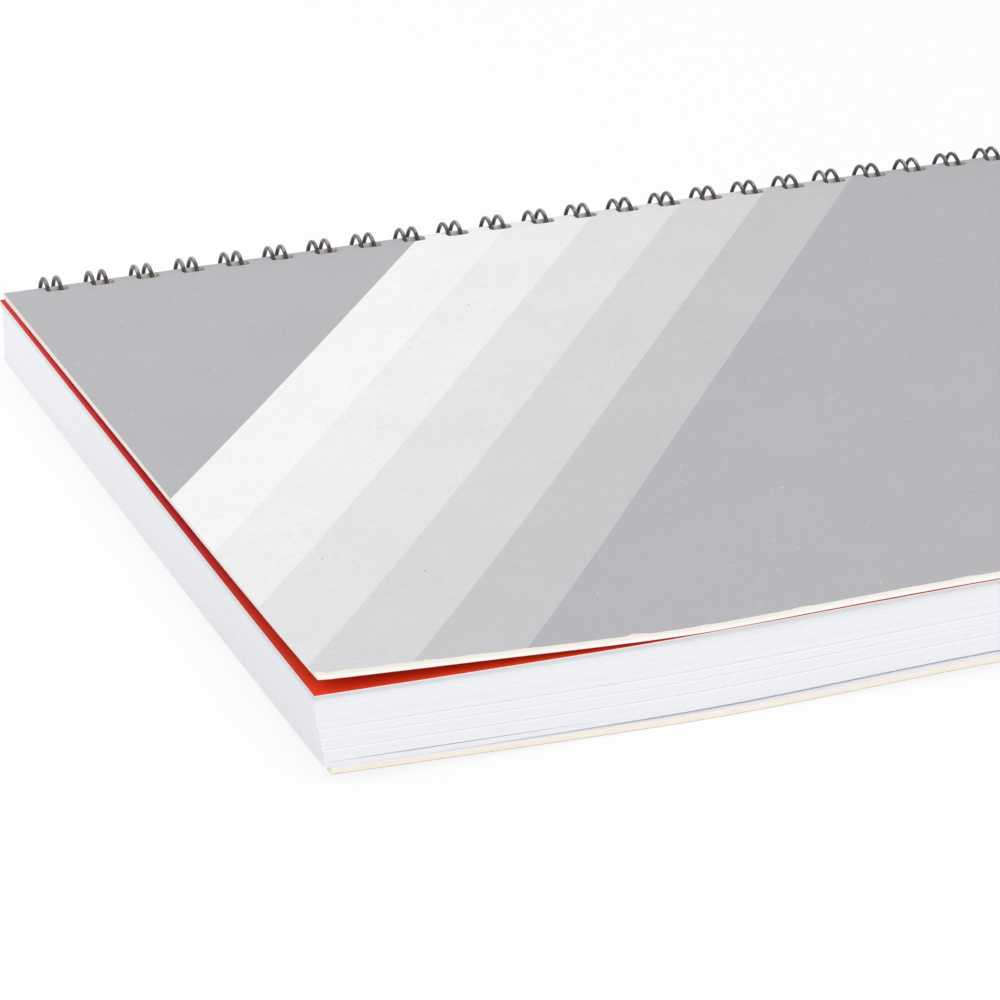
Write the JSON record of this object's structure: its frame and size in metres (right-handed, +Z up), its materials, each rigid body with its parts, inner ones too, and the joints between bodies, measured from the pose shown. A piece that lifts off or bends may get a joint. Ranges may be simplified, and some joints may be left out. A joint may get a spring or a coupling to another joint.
{
  "type": "wire-bound notebook",
  "caption": "Wire-bound notebook with paperboard covers, a red flyleaf and paper leaves that turn on a twin-loop wire along the spine.",
  "frame": {"origin": "under the middle of the closed notebook, level with the lowest point of the wire", "axes": "+X along the spine, +Y from the fore-edge to the spine, +Z up from the back cover to the front cover"},
  "size_m": [0.257, 0.1962, 0.0165],
  "materials": {
    "cover_board": "matte",
    "flyleaf_card": "matte",
    "leaf_paper": "matte",
    "back_board": "matte",
    "wire_steel": "satin"
  },
  "bodies": {
    "back": {"back_cover": "back_board", "binding_wire": "wire_steel"},
    "front_cover": {"front_cover": "cover_board"},
    "flyleaf": {"flyleaf": "flyleaf_card"},
    "leaves_01": {"leaves_01": "leaf_paper"},
    "leaves_02": {"leaves_02": "leaf_paper"},
    "leaves_03": {"leaves_03": "leaf_paper"},
    "leaves_04": {"leaves_04": "leaf_paper"},
    "leaves_05": {"leaves_05": "leaf_paper"},
    "leaves_06": {"leaves_06": "leaf_paper"},
    "leaves_07": {"leaves_07": "leaf_paper"},
    "leaves_08": {"leaves_08": "leaf_paper"},
    "leaves_09": {"leaves_09": "leaf_paper"},
    "leaves_10": {"leaves_10": "leaf_paper"},
    "leaves_11": {"leaves_11": "leaf_paper"},
    "leaves_12": {"leaves_12": "leaf_paper"},
    "leaves_13": {"leaves_13": "leaf_paper"},
    "leaves_14": {"leaves_14": "leaf_paper"},
    "leaves_15": {"leaves_15": "leaf_paper"},
    "leaves_16": {"leaves_16": "leaf_paper"}
  },
  "joints": [
    {"name": "front_cover_turn", "type": "hinge", "parent": "flyleaf", "child": "front_cover", "pos_m": [0, 0.08996, 0.00829], "axis": [-1, 0, 0], "range_deg": [0, 180]},
    {"name": "flyleaf_turn", "type": "hinge", "parent": "leaves_01", "child": "flyleaf", "pos_m": [0, 0.08996, 0.00829], "axis": [-1, 0, 0], "range_deg": [0, 180]},
    {"name": "leaves_01_turn", "type": "hinge", "parent": "leaves_02", "child": "leaves_01", "pos_m": [0, 0.08996, 0.00829], "axis": [-1, 0, 0], "range_deg": [0, 180]},
    {"name": "leaves_02_turn", "type": "hinge", "parent": "leaves_03", "child": "leaves_02", "pos_m": [0, 0.08996, 0.00829], "axis": [-1, 0, 0], "range_deg": [0, 180]},
    {"name": "leaves_03_turn", "type": "hinge", "parent": "leaves_04", "child": "leaves_03", "pos_m": [0, 0.08996, 0.00829], "axis": [-1, 0, 0], "range_deg": [0, 180]},
    {"name": "leaves_04_turn", "type": "hinge", "parent": "leaves_05", "child": "leaves_04", "pos_m": [0, 0.08996, 0.00829], "axis": [-1, 0, 0], "range_deg": [0, 180]},
    {"name": "leaves_05_turn", "type": "hinge", "parent": "leaves_06", "child": "leaves_05", "pos_m": [0, 0.08996, 0.00829], "axis": [-1, 0, 0], "range_deg": [0, 180]},
    {"name": "leaves_06_turn", "type": "hinge", "parent": "leaves_07", "child": "leaves_06", "pos_m": [0, 0.08996, 0.00829], "axis": [-1, 0, 0], "range_deg": [0, 180]},
    {"name": "leaves_07_turn", "type": "hinge", "parent": "leaves_08", "child": "leaves_07", "pos_m": [0, 0.08996, 0.00829], "axis": [-1, 0, 0], "range_deg": [0, 180]},
    {"name": "leaves_08_turn", "type": "hinge", "parent": "leaves_09", "child": "leaves_08", "pos_m": [0, 0.08996, 0.00829], "axis": [-1, 0, 0], "range_deg": [0, 180]},
    {"name": "leaves_09_turn", "type": "hinge", "parent": "leaves_10", "child": "leaves_09", "pos_m": [0, 0.08996, 0.00829], "axis": [-1, 0, 0], "range_deg": [0, 180]},
    {"name": "leaves_10_turn", "type": "hinge", "parent": "leaves_11", "child": "leaves_10", "pos_m": [0, 0.08996, 0.00829], "axis": [-1, 0, 0], "range_deg": [0, 180]},
    {"name": "leaves_11_turn", "type": "hinge", "parent": "leaves_12", "child": "leaves_11", "pos_m": [0, 0.08996, 0.00829], "axis": [-1, 0, 0], "range_deg": [0, 180]},
    {"name": "leaves_12_turn", "type": "hinge", "parent": "leaves_13", "child": "leaves_12", "pos_m": [0, 0.08996, 0.00829], "axis": [-1, 0, 0], "range_deg": [0, 180]},
    {"name": "leaves_13_turn", "type": "hinge", "parent": "leaves_14", "child": "leaves_13", "pos_m": [0, 0.08996, 0.00829], "axis": [-1, 0, 0], "range_deg": [0, 180]},
    {"name": "leaves_14_turn", "type": "hinge", "parent": "leaves_15", "child": "leaves_14", "pos_m": [0, 0.08996, 0.00829], "axis": [-1, 0, 0], "range_deg": [0, 180]},
    {"name": "leaves_15_turn", "type": "hinge", "parent": "leaves_16", "child": "leaves_15", "pos_m": [0, 0.08996, 0.00829], "axis": [-1, 0, 0], "range_deg": [0, 180]},
    {"name": "leaves_16_turn", "type": "hinge", "parent": "back", "child": "leaves_16", "pos_m": [0, 0.08996, 0.00829], "axis": [-1, 0, 0], "range_deg": [0, 180]}
  ]
}
